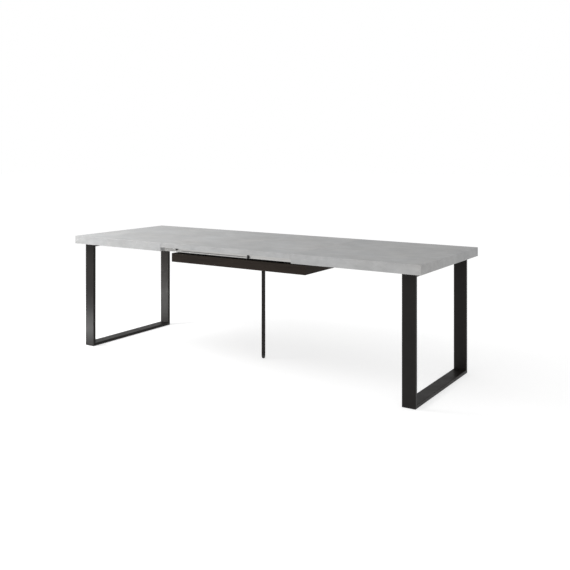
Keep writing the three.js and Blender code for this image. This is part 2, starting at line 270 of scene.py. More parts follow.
def round_rectangle(width, height, radius):
    """Outline points: corner of the inner rectangle + radius * (cos, sin) over that corner's quarter
    turn."""
    quarter = np.linspace(0, np.pi / 2, CORNER_STEPS + 1)
    turn = (quarter + np.pi / 2 * np.arange(4)[:, None]).ravel()
    x = np.repeat([1, -1, -1, 1], CORNER_STEPS + 1) * (width / 2 - radius) + radius * np.cos(turn)
    y = np.repeat([1, 1, -1, -1], CORNER_STEPS + 1) * (height / 2 - radius) + radius * np.sin(turn)
    return np.stack([x, y], axis=-1)


print("outline points:", len(round_rectangle(0.08, 0.02, 0.0025)))

# %% Both leg frames
TUBE_CORNER = 2.5 * MILLIMETRE
MITRE_ROUND = 0.7 * MILLIMETRE


def mitred_ring(low, high, thickness):
    """A tube round a rectangle in Y and Z: X = middle + width along the outline, and
    (Y, Z) = corner of the tube's centre line + depth along the outline * that corner's diagonal."""
    outline = round_rectangle(high[0] - low[0], thickness, TUBE_CORNER)
    diagonal = np.array([[-1, -1], [1, -1], [1, 1], [-1, 1]])
    middle, half = (low + high) / 2, (high - low) / 2 - thickness / 2
    corner = middle[1:] + diagonal * half[1:]
    x = np.broadcast_to(middle[0] + outline[:, 0], (4, len(outline)))
    yz = corner[:, None, :] + diagonal[:, None, :] * outline[None, :, 1:]
    return skin(np.concatenate([x[..., None], yz], axis=-1), ring=True)


def leg_frame(hand):
    """The four mitred tubes of one frame as a single welded piece."""
    tubes = [f"{hand}_leg_{tube}" for tube in ("front_post", "rear_post", "foot_rail", "top_rail")]
    rail_low, rail_high = corners_of(f"{hand}_leg_foot_rail")
    surface = mitred_ring(*corners_of(*tubes), rail_high[2] - rail_low[2])
    return make_piece(f"{hand}_leg_frame", surface, f"{hand}_half", tubes, MITRE_ROUND)


frames = {hand: leg_frame(hand) for hand in SIDE_OF}
print("frames:", [piece.name for piece in frames.values()])

# %% [markdown]
# ## Glides and battens
# Under each foot rail sit two stick-on felt glides. A batten of black laminated board joins each frame to
# the top. All are plain blocks in real life, so a rounded block is enough, with a larger round on the
# soft felt.

# %% Glides and battens
FELT_ROUND = 0.9 * MILLIMETRE
PANEL_ROUND = 0.6 * MILLIMETRE

felt_glides, battens = [], []
for hand in SIDE_OF:
    for place in OUTWARD:
        node = f"{hand}_leg_{place}_glide"
        surface = block(*corners_of(node), FELT_ROUND)
        name = f"{hand}_{place}_felt_glide"
        felt_glides.append(make_piece(name, surface, f"{hand}_half", [node]))
    node = f"{hand}_leg_batten"
    surface = block(*corners_of(node), PANEL_ROUND)
    battens.append(make_piece(f"{hand}_frame_batten", surface, f"{hand}_half", [node]))
print(len(felt_glides), "glides and", len(battens), "battens")

# %% [markdown]
# ## Turned parts
# Bolts, pins and knobs are turned: a profile of radii and heights goes round an axis. The radius may also
# change with the angle, which turns a disc into a hexagon or gives a knob its grip. Where the radius is
# zero the points merge into one, and that closes the part.

# %% A profile turned about an axis
TURNED_SIDES = 72


def turned(radius, height, centre, axis):
    """Point = centre + height * axis + radius * (cos a * across + sin a * up). The radius is a column of
    values, one for each height, or a grid with a value for each height and angle a."""
    angle = 2 * np.pi * np.arange(TURNED_SIDES) / TURNED_SIDES
    axis = np.asarray(axis, float)
    across = np.cross(axis, [1.0, 0.0, 0.0])
    up = np.cross(axis, across)
    radius = np.broadcast_to(radius, (len(height), TURNED_SIDES))[..., None]
    direction = np.cos(angle)[:, None] * across + np.sin(angle)[:, None] * up
    return skin(np.asarray(centre) + np.asarray(height, float)[:, None, None] * axis + radius * direction)


def hexagon():
    """Radius of a hexagon against its corner radius: cos 30 / cos of the angle from the nearest flat."""
    angle = 2 * np.pi * np.arange(TURNED_SIDES) / TURNED_SIDES
    from_flat = (angle + np.pi / 6) % (np.pi / 3) - np.pi / 6
    return np.cos(np.pi / 6) / np.cos(from_flat)


print("across the flats, a hexagon is", round(float(hexagon().min()), 3), "of its corner width")

# %% [markdown]
# ## Frame bolts
# Two bolts hold each frame to its batten from below. A bolt head is a hexagon whose corners are turned
# off at 30 degrees, over a round flange that spreads the load. The smaller of hexagon and cone gives that
# shape.

# %% Frame bolts
BOLT_CORNER_RADIUS = 7.5 * MILLIMETRE
BOLT_FLANGE_RADIUS = 8.6 * MILLIMETRE
BOLT_FLANGE_HEIGHT = 1.3 * MILLIMETRE
BOLT_HEAD_HEIGHT = 5.5 * MILLIMETRE
BOLT_SHANK_RADIUS = 4 * MILLIMETRE
BOLT_FACE_SHARE = 0.86
BOLT_CHAMFER = 1 * MILLIMETRE
BOLT_CONE_ANGLE = np.radians(30)
BOLT_EDGE_ROUND = 0.15 * MILLIMETRE


def bolt(low, high):
    """Rows from the head's underside to the tip: radius = the smaller of a hexagon and a cone."""
    centre = [(low[0] + high[0]) / 2, (low[1] + high[1]) / 2, low[2]]
    length = high[2] - low[2]
    hex_radius = BOLT_CORNER_RADIUS * hexagon()
    chamfer = np.linspace(0, 1, 4) * BOLT_CHAMFER
    cone = (BOLT_CORNER_RADIUS * BOLT_FACE_SHARE + chamfer / np.tan(BOLT_CONE_ANGLE))[:, None]
    wall_top = BOLT_HEAD_HEIGHT - BOLT_FLANGE_HEIGHT
    head = np.concatenate([np.zeros((1, TURNED_SIDES)), np.minimum(cone, hex_radius), hex_radius[None]])
    round_rows = [BOLT_FLANGE_RADIUS, BOLT_FLANGE_RADIUS, BOLT_SHANK_RADIUS, BOLT_SHANK_RADIUS, 0]
    radius = np.concatenate([head, np.repeat(np.array(round_rows)[:, None], TURNED_SIDES, axis=1)])
    height = [0, *chamfer, wall_top, wall_top, BOLT_HEAD_HEIGHT, BOLT_HEAD_HEIGHT, length, length]
    return turned(radius, height, centre, (0, 0, 1))


frame_bolts = []
for hand in SIDE_OF:
    for place in OUTWARD:
        node = f"{hand}_leg_{place}_bolt"
        name = f"{hand}_{place}_frame_bolt"
        surface = bolt(*corners_of(node))
        body = f"{hand}_half"
        frame_bolts.append(make_piece(name, surface, body, [node], BOLT_EDGE_ROUND))
print(len(frame_bolts), "bolts")

# %% [markdown]
# ## The telescopic rails
# Under the front and the rear edge run three aluminium profiles each: one for the left half, one for the
# right half, and one in the middle that the other two slide along on two tongues. The profiles are sawn
# from long bars, so their ends are square and their edges softly rounded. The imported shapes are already
# right, holes and all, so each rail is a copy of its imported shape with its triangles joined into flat
# faces and rounded edges.

# %% Rails and their end caps
RAIL_ROUND = 0.35 * MILLIMETRE
CAP_ROUND = 0.6 * MILLIMETRE
RAIL_BODIES = {
    "front_slide_outer": "left_half",
    "front_slide_inner": "right_half",
    "rear_slide_outer": "right_half",
    "rear_slide_inner": "left_half",
    "front_slide_centre": "centre_unit",
    "rear_slide_centre": "centre_unit",
}

rails, caps = [], []
for node, body in RAIL_BODIES.items():
    name = node.replace("slide", "rail")
    rails.append(make_piece(name, node_skin(node), body, [node], RAIL_ROUND, True))
    if body != "centre_unit":
        cap = f"{node}_cap"
        surface = node_skin(cap)
        caps.append(make_piece(f"{name}_cap", surface, body, [cap], CAP_ROUND, True))
print(len(rails), "rails and", len(caps), "caps")

# %% [markdown]
# ## Painted shade strips
# A groove runs low along the outer face of each outer rail. Where that rail reaches past its own half, a
# black strip lies in the groove as painted shade: it stands for the shadow in the groove and reads as a
# thin dark line under the leaves. It takes the moulded plastic finish and is a rounded block that lies a
# little below the face of the rail.

# %% Painted shade strips in the grooves
STRIP_START = 403 * MILLIMETRE
STRIP_END = 124 * MILLIMETRE
STRIP_MIDDLE_DROP = 9.3 * MILLIMETRE
STRIP_HEIGHT = 2.9 * MILLIMETRE
STRIP_DEPTH = 1.3 * MILLIMETRE
STRIP_SUNK = 0.4 * MILLIMETRE
STRIP_ROUND = 0.4 * MILLIMETRE

painted_shade_strips = []
for place, side in OUTWARD.items():
    low, high = corners_of(f"{place}_slide_outer")
    face = low[1] if side < 0 else high[1]
    middle_z = (low[2] + high[2]) / 2 - STRIP_MIDDLE_DROP
    span_x = np.sort([side * STRIP_START, -side * STRIP_END])
    span_y = np.sort([face - side * STRIP_SUNK, face - side * (STRIP_SUNK + STRIP_DEPTH)])
    low = [span_x[0], span_y[0], middle_z - STRIP_HEIGHT / 2]
    high = [span_x[1], span_y[1], middle_z + STRIP_HEIGHT / 2]
    # A black block sunk in the groove: painted shade standing for the shadow in the groove.
    surface = block(low, high, STRIP_ROUND)
    body = RAIL_BODIES[f"{place}_slide_outer"]
    painted_shade_strips.append(make_piece(f"{place}_rail_wear_strip", surface, body))
print(len(painted_shade_strips), "wear strips")

# %% [markdown]
# ## Lock knobs and leaf pins
# A small spring knob on each outer rail locks the halves. Its rim has fine ribs for the fingers: the
# radius swings in and out with the angle, only where the profile is widest. Each leaf has two steel pins
# with a round tip below it that drop into holes in the middle rail.

# %% Lock knobs
KNOB_RIBS = 18
RIB_DEPTH = 0.35 * MILLIMETRE
KNOB_SHANK_RADIUS = 3 * MILLIMETRE
KNOB_GRIP_HEIGHT = 9 * MILLIMETRE

# The grip's profile, from the middle of its face to its back: radius as a share of the rim, depth as a
# share of the grip's height, and how deep the ribs are there.
GRIP_RADIUS = np.array([0, 0.3, 0.62, 0.8, 0.92, 1, 1, 1, 0.93, 0.8, 0.66, 0.62])
GRIP_DEPTH = np.array([0.06, 0.06, 0, 0.03, 0.1, 0.22, 0.4, 0.62, 0.7, 0.76, 0.84, 0.97])
GRIP_RIBBED = np.array([0, 0, 0, 0, 0.4, 1, 1, 1, 0.5, 0, 0, 0])


def lock_knob(low, high, outward):
    """Radius = profile + depth * cos(ribs * angle), where the ribs fade away from the middle of the
    grip."""
    rim = (high[2] - low[2]) / 2
    outer_face = low[1] if outward < 0 else high[1]
    centre = [(low[0] + high[0]) / 2, outer_face, (low[2] + high[2]) / 2]
    length = high[1] - low[1]
    angle = 2 * np.pi * np.arange(TURNED_SIDES) / TURNED_SIDES
    ribs = RIB_DEPTH * (np.cos(KNOB_RIBS * angle) - 1) / 2
    grip = GRIP_RADIUS[:, None] * rim + GRIP_RIBBED[:, None] * ribs
    shank = np.repeat([[KNOB_SHANK_RADIUS], [KNOB_SHANK_RADIUS], [0]], TURNED_SIDES, axis=1)
    depth = GRIP_DEPTH * KNOB_GRIP_HEIGHT
    height = np.concatenate([depth, [depth[-1], length, length]])
    return turned(np.concatenate([grip, shank]), height, centre, (0, -outward, 0))


knobs = []
for place, outward in OUTWARD.items():
    node = f"{place}_lock_knob"
    surface = lock_knob(*corners_of(node), outward)
    knobs.append(make_piece(f"{place}_rail_knob", surface, node, [node]))
print(len(knobs), "knobs with", KNOB_RIBS, "ribs each")

# %% Leaf pins
leaf_pins = []
for hand in SIDE_OF:
    for place in OUTWARD:
        node = f"{hand}_leaf_{place}_pin"
        low, high = corners_of(node)
        radius = (high[0] - low[0]) / 2
        tip = np.linspace(0, np.pi / 2, 7)
        radii = np.concatenate([radius * np.sin(tip), [radius, 0]])
        heights = np.concatenate([radius * (1 - np.cos(tip)), [high[2] - low[2]] * 2])
        surface = turned(radii[:, None], heights, [*(low[:2] + high[:2]) / 2, low[2]], (0, 0, 1))
        name = f"{place}_pin_of_{hand}_leaf"
        leaf_pins.append(make_piece(name, surface, f"{hand}_leaf", [node]))
print(len(leaf_pins), "leaf pins")

# %% [markdown]
# ## The storage box
# The leaves are kept in a shallow box that hangs from the middle rails. Its panels are black laminated
# board with crisp edges, and four bent steel strips carry it. A strip is one L-shaped outline carried
# along its width, with the round of a press brake at the bend.

# %% Box panels
box_panels = []
for panel in ("front", "rear", "left_end", "right_end", "bottom"):
    surface = block(*corners_of(f"box_{panel}"), PANEL_ROUND)
    name = f"storage_box_{panel}"
    box_panels.append(make_piece(name, surface, "centre_unit", [f"box_{panel}"]))
print(len(box_panels), "panels")

# %% Corners of an outline made round
def softened(corners, radii, steps=5):
    """Each corner becomes a curve from a point one radius before it to a point one radius after it:
    (1 - t)^2 * before + 2 t (1 - t) * corner + t^2 * after."""
    corners = np.asarray(corners, float)
    back = np.roll(corners, 1, axis=0) - corners
    ahead = np.roll(corners, -1, axis=0) - corners
    reach = np.asarray(radii, float)[:, None]
    before = corners + reach * back / np.linalg.norm(back, axis=1, keepdims=True)
    after = corners + reach * ahead / np.linalg.norm(ahead, axis=1, keepdims=True)
    t = np.linspace(0, 1, steps + 1)[:, None]
    curve = (1 - t) ** 2 * before[:, None] + 2 * t * (1 - t) * corners[:, None] + t**2 * after[:, None]
    return curve.reshape(-1, 2)


def bar_along_x(outline, start, end):
    """An outline in Y and Z carried straight from one X to another, with flat ends."""
    stations = np.array([start, end])[:, None]
    x = np.broadcast_to(stations, (2, len(outline)))
    yz = np.broadcast_to(outline, (2, len(outline), 2))
    return skin(np.concatenate([x[..., None], yz], axis=-1))


# %% Hangers of the box
HANGER_THICKNESS = 2.5 * MILLIMETRE
HANGER_EDGE_ROUND = 0.4 * MILLIMETRE
BEND_INSIDE = 1 * MILLIMETRE
BEND_OUTSIDE = 3.4 * MILLIMETRE

hangers = []
for place, side in OUTWARD.items():
    for hand in SIDE_OF:
        node = f"box_hanger_{place}_{hand}"
        low, high = corners_of(node)
        outer, inner = (low[1], high[1]) if side < 0 else (high[1], low[1])
        under = high[2] - HANGER_THICKNESS
        outline = [
            [outer, under],
            [inner + side * HANGER_THICKNESS, under],
            [inner + side * HANGER_THICKNESS, low[2]],
            [inner, low[2]],
            [inner, high[2]],
            [outer, high[2]],
        ]
        cut = HANGER_EDGE_ROUND
        outline = softened(outline, [cut, BEND_INSIDE, cut, cut, BEND_OUTSIDE, cut])
        surface = bar_along_x(outline, low[0], high[0])
        name = f"storage_box_hanger_{place}_{hand}"
        hanger = make_piece(name, surface, "centre_unit", [node], HANGER_EDGE_ROUND)
        hangers.append(hanger)
print(len(hangers), "hangers")

# %% [markdown]
# ## The support leg
# Under the box a slim tube carries the middle of the long top. It turns on a pin between two lugs, folds
# flat below the box, and a magnet holds it there. The tube is open, so its wall is real: outline up the
# outside, down the inside, as a ring. The plastic foot narrows to a small rounded tip.

# %% Tube, bracket, pin and magnet
LEG_CORNER = 2 * MILLIMETRE
LEG_WALL = 1.5 * MILLIMETRE
INNER_CORNER_CUT = 0.7
LEG_EDGE_ROUND = 0.3 * MILLIMETRE
BRACKET_ROUND = 0.4 * MILLIMETRE
MAGNET_ROUND = 1.2 * MILLIMETRE
PIN_HEAD_LENGTH = 2.5 * MILLIMETRE
PIN_HEAD_RADIUS = 6 * MILLIMETRE
PIN_HEAD_ROUND = 1 * MILLIMETRE
PIN_RADIUS = 4 * MILLIMETRE
PIN_TIP_SHARE = 0.8
PIN_CHAMFER = 0.8 * MILLIMETRE

def stacked(rows):
    """A grid from pairs of an outline in X and Y and a height: point = (outline, height)."""
    return np.stack([np.column_stack([outline, np.full(len(outline), z)]) for outline, z in rows])


def open_tube(low, high, wall, corner):
    """Four rows in a ring: outside bottom, outside top, inside top, inside bottom."""
    middle, size = (low + high) / 2, high - low
    outside = middle[:2] + round_rectangle(size[0], size[1], corner)
    inner_corner = corner - INNER_CORNER_CUT * wall
    inside = middle[:2] + round_rectangle(size[0] - 2 * wall, size[1] - 2 * wall, inner_corner)
    rows = [(outside, low[2]), (outside, high[2]), (inside, high[2]), (inside, low[2])]
    return skin(stacked(rows), ring=True)


surface = open_tube(*corners_of("centre_leg"), LEG_WALL, LEG_CORNER)
node = "centre_leg"
support_leg = make_piece("support_leg_tube", surface, node, [node], LEG_EDGE_ROUND)

node = "leg_hinge_bracket"
surface = node_skin(node)
bracket = make_piece(
    "support_leg_bracket", surface, "centre_unit", [node], BRACKET_ROUND, True
)

low, high = corners_of("leg_hinge_pin")
length = high[1] - low[1]
bend = np.linspace(0, np.pi / 2, 6)
head_radii = PIN_HEAD_RADIUS - PIN_HEAD_ROUND * (1 - np.sin(bend))
head_heights = PIN_HEAD_ROUND * (1 - np.cos(bend))
radii = [0, *head_radii, PIN_HEAD_RADIUS, PIN_RADIUS, PIN_RADIUS, PIN_TIP_SHARE * PIN_RADIUS, 0]
heights = [0, *head_heights, PIN_HEAD_LENGTH, PIN_HEAD_LENGTH, length - PIN_CHAMFER, length, length]
surface = turned(np.array(radii)[:, None], heights, [0, low[1], (low[2] + high[2]) / 2], (0, 1, 0))
hinge_pin = make_piece("support_leg_pin", surface, "centre_unit", ["leg_hinge_pin"])

surface = block(*corners_of("leg_magnet"), MAGNET_ROUND)
magnet = make_piece("support_leg_magnet", surface, "centre_unit", ["leg_magnet"])
print("support leg:", support_leg.name, bracket.name, hinge_pin.name, magnet.name)

# %% The tapered foot
FOOT_TIP_SHARE = 0.5
FOOT_COLLAR = 22 * MILLIMETRE
FOOT_ROWS = 14
PLUG_PLAY = 0.6 * MILLIMETRE
PLUG_CORNER = 1 * MILLIMETRE
PLUG_LEAD_IN = 1 * MILLIMETRE
PLUG_TAPER = 1.2 * MILLIMETRE


def tapered_foot(low, high):
    """Outline of the tube shrunk towards the floor: scale = tip + (1 - tip) * sqrt(1 - (1 - height)^2),
    and above the collar a smaller plug that sits inside the tube."""
    middle, size = (low + high) / 2, high - low
    collar = round_rectangle(size[0], size[1], LEG_CORNER)
    share = 1 - np.cos(np.linspace(0, np.pi / 2, FOOT_ROWS))
    scale = FOOT_TIP_SHARE + (1 - FOOT_TIP_SHARE) * np.sqrt(1 - (1 - share) ** 2)
    plug = round_rectangle(*(size[:2] - 2 * LEG_WALL - PLUG_PLAY), PLUG_CORNER)
    plug_top = plug * (1 - PLUG_TAPER / size[0])
    rows = [(outline_scale * collar, low[2] + FOOT_COLLAR * z) for outline_scale, z in zip(scale, share)]
    rows += [(plug, low[2] + FOOT_COLLAR), (plug, high[2] - PLUG_LEAD_IN), (plug_top, high[2])]
    return skin(stacked([(middle[:2] + outline, z) for outline, z in rows]))


low, high = corners_of("centre_leg_foot")
surface = tapered_foot(low, high)
foot = make_piece(
    "support_leg_foot", surface, "centre_leg", ["centre_leg_foot"], LEG_EDGE_ROUND
)
tip_width = FOOT_TIP_SHARE * (high[0] - low[0])
print("the foot narrows to", round(tip_width / MILLIMETRE, 1), "mm at the floor")

# %% [markdown]
# ## Screws
# Screws hold the hangers and the hinge plate. A pan head is a low dome with a cross sunk into it: the
# height of the surface is a function of distance and angle, so one grid makes both dome and cross.

# %% Screw heads
SCREW_RADIUS = 3.6 * MILLIMETRE
SCREW_DOME = 1.7 * MILLIMETRE
CROSS_REACH = 0.62
CROSS_HALF_WIDTH = 0.13
CROSS_DEPTH = 1.1 * MILLIMETRE
SCREW_ROWS = 14
CROSS_END_SLOPE = 0.12
CROSS_WALL_STEEPNESS = 2.5
DOME_FULLNESS = 0.999
HANGER_SCREW_STEP = 11 * MILLIMETRE
HANGER_SCREW_RISE = 14 * MILLIMETRE
PLATE_THICKNESS = 3 * MILLIMETRE
PLATE_SCREW_X = 26 * MILLIMETRE
PLATE_SCREW_Y = 17 * MILLIMETRE


def screw_head(centre, axis):
    """Height over the plate = dome * sqrt(1 - r^2) - depth where the point lies inside either arm of the
    cross."""
    axis = np.asarray(axis, float)
    across = np.cross(axis, [1.0, 0.0, 0.0])
    up = np.cross(axis, across)
    angle = 2 * np.pi * np.arange(TURNED_SIDES) / TURNED_SIDES
    r = np.sin(np.linspace(0, np.pi / 2, SCREW_ROWS))[:, None]
    u, v = r * np.cos(angle), r * np.sin(angle)
    arms = np.maximum(CROSS_HALF_WIDTH - np.minimum(np.abs(u), np.abs(v)), 0) / CROSS_HALF_WIDTH
    reach = np.clip((CROSS_REACH - r) / CROSS_END_SLOPE, 0, 1)
    sunk = np.clip(CROSS_WALL_STEEPNESS * arms, 0, 1) * reach * CROSS_DEPTH
    height = SCREW_DOME * np.sqrt(1 - DOME_FULLNESS * r**2) - sunk
    flat = SCREW_RADIUS * (u[..., None] * across + v[..., None] * up)
    return skin(np.asarray(centre) + flat + height[..., None] * axis)


screws = []
for place, side in OUTWARD.items():
    for hand in SIDE_OF:
        low, high = corners_of(f"box_hanger_{place}_{hand}")
        face_y = high[1] if side < 0 else low[1]
        for step in (-1, 1):
            x = (low[0] + high[0]) / 2 + step * HANGER_SCREW_STEP
            screws.append(screw_head([x, face_y, low[2] + HANGER_SCREW_RISE], (0, -side, 0)))
surface = together(screws)
hanger_screws = make_piece("storage_box_hanger_screws", surface, "centre_unit")

plate_under = corners_of("leg_hinge_bracket")[1][2] - PLATE_THICKNESS
spots = [[x * PLATE_SCREW_X, y * PLATE_SCREW_Y, plate_under] for x in (-1, 1) for y in (-1, 1)]
surface = together([screw_head(spot, (0, 0, -1)) for spot in spots])
bracket_screws = make_piece("support_leg_bracket_screws", surface, "centre_unit")
print(len(screws), "hanger screws and", len(spots), "bracket screws")

# %% [markdown]
# ## Finishes
# A finish is a tree of shader nodes. Its patterns come from noise worked out at each point of the object,
# in metres, so nothing is painted and nothing needs unwrapping. Effects that several finishes share are
# built once as node groups: clouds of tone, fine grain, pores, and wear along edges.

# %% Helpers for node trees
def add(tree, kind, inputs=None, **settings):
    """A shader node with its settings and inputs filled in. An input is a value or another node's
    output."""
    node = tree.nodes.new(f"ShaderNode{kind}")
    for key, value in settings.items():
        setattr(node, key, value)
    for key, value in (inputs or {}).items():
        if isinstance(value, bpy.types.NodeSocket):
            tree.links.new(value, node.inputs[key])
        else:
            node.inputs[key].default_value = value
    return node


def reckon(tree, operation, *values, clamp=False):
    """The output of one Math node."""
    return add(tree, "Math", dict(enumerate(values)), operation=operation, use_clamp=clamp).outputs[0]


def between(tree, share, low, high):
    """A plain number that is low where share is 0 and high where share is 1."""
    return add(tree, "MapRange", {"Value": share, "To Min": low, "To Max": high}).outputs["Result"]


def colour_mix(tree, share, first, second):
    """The first colour where share is 0 and the second where it is 1."""
    is_link = [isinstance(value, bpy.types.NodeSocket) for value in (first, second)]
    colours = [value if link else (*value, 1) for value, link in zip((first, second), is_link)]
    return add(tree, "Mix", {0: share, 6: colours[0], 7: colours[1]}, data_type="RGBA").outputs[2]


def new_group(name, inputs, outputs):
    """An empty shader node group, with its sockets by name and kind, and the ends that its nodes link
    to."""
    group = bpy.data.node_groups.new(name, "ShaderNodeTree")
    for socket, kind in inputs.items():
        group.interface.new_socket(socket, in_out="INPUT", socket_type=f"NodeSocket{kind}")
    for socket, kind in outputs.items():
        group.interface.new_socket(socket, in_out="OUTPUT", socket_type=f"NodeSocket{kind}")
    return group, group.nodes.new("NodeGroupInput").outputs, group.nodes.new("NodeGroupOutput").inputs


def placed(tree, group, inputs):
    """The outputs of a node group placed in a tree with its inputs filled in."""
    node = tree.nodes.new("ShaderNodeGroup")
    node.node_tree = group
    for key, value in inputs.items():
        if isinstance(value, bpy.types.NodeSocket):
            tree.links.new(value, node.inputs[key])
        else:
            node.inputs[key].default_value = value
    return node.outputs


print("node helpers are ready")

# %% Clouds of tone
FINER_TIMES = 3.3
FINER_SHARE = 0.36

clouds, given, result = new_group(
    "clouds of tone",
    {"Vector": "Vector", "Scale": "Float", "Stretch": "Float", "Contrast": "Float"},
    {"Value": "Float"},
)
stretch = add(clouds, "CombineXYZ", {"X": given["Stretch"], "Y": 1.0, "Z": 1.0}).outputs[0]
spread = add(clouds, "VectorMath", {0: given["Vector"], 1: stretch}, operation="MULTIPLY").outputs[0]
broad_noise = {"Vector": spread, "Scale": given["Scale"], "Detail": 5.0, "Distortion": 0.5}
broad = add(clouds, "TexNoise", broad_noise)
finer_scale = reckon(clouds, "MULTIPLY", given["Scale"], FINER_TIMES)
finer_noise = {"Vector": spread, "Scale": finer_scale, "Detail": 4.0, "Distortion": 0.3}
finer = add(clouds, "TexNoise", finer_noise)
mixed = between(clouds, FINER_SHARE, broad.outputs[0], finer.outputs[0])
centred = reckon(clouds, "SUBTRACT", mixed, 0.5)
steeper = reckon(clouds, "MULTIPLY_ADD", centred, given["Contrast"], 0.5, clamp=True)
clouds.links.new(steeper, result["Value"])
print("clouds:", len(clouds.nodes), "nodes")

# %% Fine grain
PATCHY_TIMES = 0.11

grain, given, result = new_group(
    "fine grain",
    {"Vector": "Vector", "Scale": "Float", "Along": "Float"},
    {"Value": "Float", "Height": "Float"},
)
stretch = add(grain, "CombineXYZ", {"X": given["Along"], "Y": 1.0, "Z": 1.0}).outputs[0]
spread = add(grain, "VectorMath", {0: given["Vector"], 1: stretch}, operation="MULTIPLY").outputs[0]
grit_noise = {"Vector": spread, "Scale": given["Scale"], "Detail": 3.0, "Roughness": 0.6}
grit = add(grain, "TexNoise", grit_noise)
patchy_scale = reckon(grain, "MULTIPLY", given["Scale"], PATCHY_TIMES)
patchy = add(grain, "TexNoise", {"Vector": spread, "Scale": patchy_scale, "Detail": 2.0})
uneven = reckon(grain, "MULTIPLY", grit.outputs[0], patchy.outputs[0])
grain.links.new(grit.outputs[0], result["Value"])
grain.links.new(reckon(grain, "MULTIPLY", uneven, 2.0), result["Height"])
print("fine grain:", len(grain.nodes), "nodes")

# %% Pores
pores, given, result = new_group(
    "pores",
    {"Vector": "Vector", "Scale": "Float", "Size": "Float", "Share": "Float"},
    {"Mask": "Float"},
)
cells = add(pores, "TexVoronoi", {"Vector": given["Vector"], "Scale": given["Scale"]})
drawn = add(pores, "SeparateColor", {"Color": cells.outputs["Color"]}).outputs[0]
chosen = reckon(pores, "LESS_THAN", drawn, given["Share"])
fading = {"Value": cells.outputs["Distance"], "From Max": given["Size"], "To Min": 1.0, "To Max": 0.0}
near = add(pores, "MapRange", fading).outputs["Result"]
pores.links.new(reckon(pores, "MULTIPLY", near, chosen), result["Mask"])
print("pores:", len(pores.nodes), "nodes")

# %% Wear along edges
edge_wear, given, result = new_group(
    "edge wear",
    {"Vector": "Vector", "Low": "Vector", "High": "Vector", "Width": "Float"},
    {"Mask": "Float"},
)
from_low = {0: given["Vector"], 1: given["Low"]}
to_high = {0: given["High"], 1: given["Vector"]}
below = add(edge_wear, "VectorMath", from_low, operation="SUBTRACT").outputs[0]
above = add(edge_wear, "VectorMath", to_high, operation="SUBTRACT").outputs[0]
nearest = add(edge_wear, "VectorMath", {0: below, 1: above}, operation="MINIMUM").outputs[0]
depth = add(edge_wear, "SeparateXYZ", {0: nearest}).outputs
lesser = reckon(edge_wear, "MINIMUM", depth[0], depth[1])
greater = reckon(edge_wear, "MAXIMUM", depth[0], depth[1])
middle_depth = reckon(edge_wear, "MAXIMUM", lesser, reckon(edge_wear, "MINIMUM", greater, depth[2]))
patches = add(edge_wear, "TexNoise", {"Vector": given["Vector"], "Scale": 60.0, "Detail": 3.0}).outputs[0]
reach = reckon(edge_wear, "MULTIPLY", given["Width"], reckon(edge_wear, "MULTIPLY", patches, 2.0))
fade = reckon(edge_wear, "DIVIDE", middle_depth, reach)
edge_wear.links.new(reckon(edge_wear, "SUBTRACT", 1.0, fade, clamp=True), result["Mask"])
print("edge wear:", len(edge_wear.nodes), "nodes")

# %% A finish to start from
def new_finish(name, pieces, shift=(0.0, 0.0, 0.0)):
    """A material with a Principled surface, given to its pieces, and the Object coordinates that its
    patterns read: as they are, and shifted so that no two boards match."""
    material = bpy.data.materials.new(name)
    material.use_nodes = True
    for piece in pieces:
        piece.data.materials.append(material)
    tree = material.node_tree
    surface = tree.nodes["Principled BSDF"]
    place = tree.nodes.new("ShaderNodeTexCoord").outputs["Object"]
    shifted = add(tree, "Mapping", {"Vector": place, "Location": shift}).outputs[0]
    return tree, surface, place, shifted


def roughen(tree, surface, height, distance, strength=1.0):
    """Fine relief on a surface, with a height of distance in metres."""
    bump = add(tree, "Bump", {"Height": height, "Distance": distance, "Strength": strength})
    tree.links.new(bump.outputs[0], surface.inputs["Normal"])


def wear_mask(tree, place, piece, width):
    """Wear along the outer edges of one piece, from the box around its own points."""
    corners = np.array([list(corner) for corner in piece.bound_box])
    inputs = {"Vector": place, "Low": corners.min(axis=0), "High": corners.max(axis=0), "Width": width}
    return placed(tree, edge_wear, inputs)["Mask"]


print("finishes can start")

# %% [markdown]
# ## Concrete laminate
# The decor is printed: soft clouds in a range of light greys, long trowel streaks, pale hairlines and
# tiny dark pores, under a hard matt film with a slight texture. Each board is cut from another place in
# the sheet, so its pattern is shifted. At the edges the film is folded tight over the board and wears a
# little paler.

# %% Concrete laminate
CONCRETE_DARK = (0.225, 0.225, 0.225)
CONCRETE_LIGHT = (0.48, 0.48, 0.478)
CONCRETE_HAIRLINE = (0.5, 0.5, 0.49)
CONCRETE_PORE = (0.15, 0.15, 0.148)
CONCRETE_EDGE = (0.48, 0.48, 0.475)
CONCRETE_COOL = (0.355, 0.37, 0.385)
CONCRETE_WARM = (0.385, 0.375, 0.36)
SMALL_CLOUD_SHARE = 0.45
STREAK_SHARE = 0.22
GRIT_SHARE = 0.16
TINT_SHARE = 0.3
HAIRLINE_STRENGTH = 0.3
HAIRLINE_WIDTH = 0.006
PORE_STRENGTH = 0.7
EDGE_STRENGTH = 0.5
EDGE_WIDTH = 1.6 * MILLIMETRE
RUBBED_SMOOTHER = 0.08


